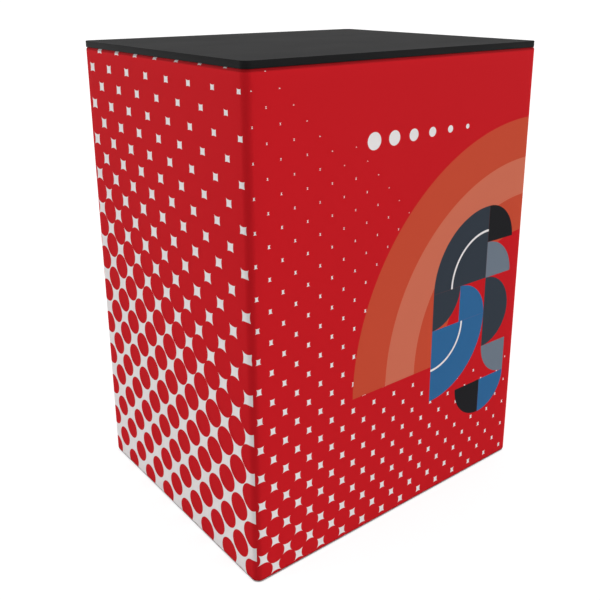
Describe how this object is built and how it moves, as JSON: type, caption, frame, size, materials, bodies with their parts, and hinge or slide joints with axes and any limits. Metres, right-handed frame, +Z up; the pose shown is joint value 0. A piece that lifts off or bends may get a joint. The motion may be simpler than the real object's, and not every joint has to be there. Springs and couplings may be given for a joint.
{
  "type": "exhibition counter",
  "caption": "Free-standing exhibition counter: a tube frame in a stretched printed cover, with a lift-off top, an inner shelf, a seam zip and a rear flap.",
  "frame": {"origin": "on the floor, at the middle of the outline seen from above", "axes": "+Z up; -Y is the way the wide printed face looks; +Y is the back with the flap; X runs across the counter, -X on the left seen from the front"},
  "size_m": [0.76, 0.62, 1],
  "materials": {
    "cover_fabric": "printed stretch polyester, matte",
    "trim_fabric": "black woven tape",
    "top_laminate": "fine matte high-pressure laminate",
    "edge_band": "black plastic edging, satin",
    "board": "fibreboard core",
    "shelf_board": "black melamine-faced board",
    "tube": "satin anodised",
    "connector": "glass-filled nylon",
    "steel": "plated steel",
    "brass": "turned brass",
    "foot": "hard black plastic",
    "edge_strip": "extruded soft plastic",
    "zip": "moulded black plastic",
    "zip_metal": "black lacquered"
  },
  "bodies": {
    "frame": {"bearer_clips": "connector", "bearer_screws": "steel", "bottom_connector_left_back": "connector", "bottom_connector_left_front": "connector", "bottom_connector_right_back": "connector", "bottom_connector_right_front": "connector", "bottom_rail_back": "tube", "bottom_rail_front": "tube", "bottom_rail_left": "tube", "bottom_rail_right": "tube", "cover_back": "cover_fabric", "cover_hems": "trim_fabric", "cover_wrap": "cover_fabric", "edge_strips": "edge_strip", "flap_seam_strip": "cover_fabric", "foot_inserts": "brass", "frame_rivets": "tube", "hook_tapes": "trim_fabric", "lower_post_left_back": "tube", "lower_post_left_front": "tube", "lower_post_right_back": "tube", "lower_post_right_front": "tube", "post_ferrules": "tube", "shelf_bearer_left": "tube", "shelf_bearer_right": "tube", "snap_springs": "steel", "top_connector_left_back": "connector", "top_connector_left_front": "connector", "top_connector_right_back": "connector", "top_connector_right_front": "connector", "top_rail_back": "tube", "top_rail_front": "tube", "top_rail_left": "tube", "top_rail_right": "tube", "upper_post_left_back": "tube", "upper_post_left_front": "tube", "upper_post_right_back": "tube", "upper_post_right_front": "tube", "zip_chain": "zip", "zip_stops": "zip_metal", "zip_tapes": "trim_fabric"},
    "top": {"top_board": "board", "backer_laminate": "top_laminate", "top_laminate": "top_laminate", "top_edge_band": "edge_band", "locating_pins": "steel"},
    "shelf": {"shelf_board": "shelf_board"},
    "flap": {"back_flap": "cover_fabric", "loop_tapes": "trim_fabric", "flap_tab": "trim_fabric"},
    "zip_slider": {"zip_slider": "zip_metal"},
    "zip_pull": {"zip_pull": "zip_metal"},
    "foot_left_front": {"foot_left_front": "foot"},
    "button_left_front": {"snap_button_left_front": "steel"},
    "foot_left_back": {"foot_left_back": "foot"},
    "button_left_back": {"snap_button_left_back": "steel"},
    "foot_right_front": {"foot_right_front": "foot"},
    "button_right_front": {"snap_button_right_front": "steel"},
    "foot_right_back": {"foot_right_back": "foot"},
    "button_right_back": {"snap_button_right_back": "steel"}
  },
  "joints": [
    {"name": "top_lift", "type": "slide", "parent": "frame", "child": "top", "axis": [0, 0, 1], "range_m": [0, 0.08]},
    {"name": "shelf_lift", "type": "slide", "parent": "frame", "child": "shelf", "axis": [0, 0, 1], "range_m": [0, 0.06]},
    {"name": "flap_swing", "type": "hinge", "parent": "frame", "child": "flap", "pos_m": [0, 0.3096, 0.889], "axis": [1, 0, 0], "range_deg": [0, 120]},
    {"name": "zip_slide", "type": "slide", "parent": "frame", "child": "zip_slider", "axis": [0, 0, -1], "range_m": [0, 0.895]},
    {"name": "zip_pull_swing", "type": "hinge", "parent": "zip_slider", "child": "zip_pull", "pos_m": [0.339, 0.309, 0.9398], "axis": [1, 0, 0], "range_deg": [0, 150]},
    {"name": "foot_left_front_screw", "type": "slide", "parent": "frame", "child": "foot_left_front", "axis": [0, 0, -1], "range_m": [0, 0.01]},
    {"name": "foot_left_back_screw", "type": "slide", "parent": "frame", "child": "foot_left_back", "axis": [0, 0, -1], "range_m": [0, 0.01]},
    {"name": "foot_right_front_screw", "type": "slide", "parent": "frame", "child": "foot_right_front", "axis": [0, 0, -1], "range_m": [0, 0.01]},
    {"name": "foot_right_back_screw", "type": "slide", "parent": "frame", "child": "foot_right_back", "axis": [0, 0, -1], "range_m": [0, 0.01]},
    {"name": "button_left_front_press", "type": "slide", "parent": "frame", "child": "button_left_front", "axis": [-1, 0, 0], "range_m": [0, 0.004], "stiffness_N_per_m": 1500, "springref_m": -0.002, "deforming": ["snap_springs"]},
    {"name": "button_left_back_press", "type": "slide", "parent": "frame", "child": "button_left_back", "axis": [-1, 0, 0], "range_m": [0, 0.004], "stiffness_N_per_m": 1500, "springref_m": -0.002, "deforming": ["snap_springs"]},
    {"name": "button_right_front_press", "type": "slide", "parent": "frame", "child": "button_right_front", "axis": [1, 0, 0], "range_m": [0, 0.004], "stiffness_N_per_m": 1500, "springref_m": -0.002, "deforming": ["snap_springs"]},
    {"name": "button_right_back_press", "type": "slide", "parent": "frame", "child": "button_right_back", "axis": [1, 0, 0], "range_m": [0, 0.004], "stiffness_N_per_m": 1500, "springref_m": -0.002, "deforming": ["snap_springs"]}
  ]
}
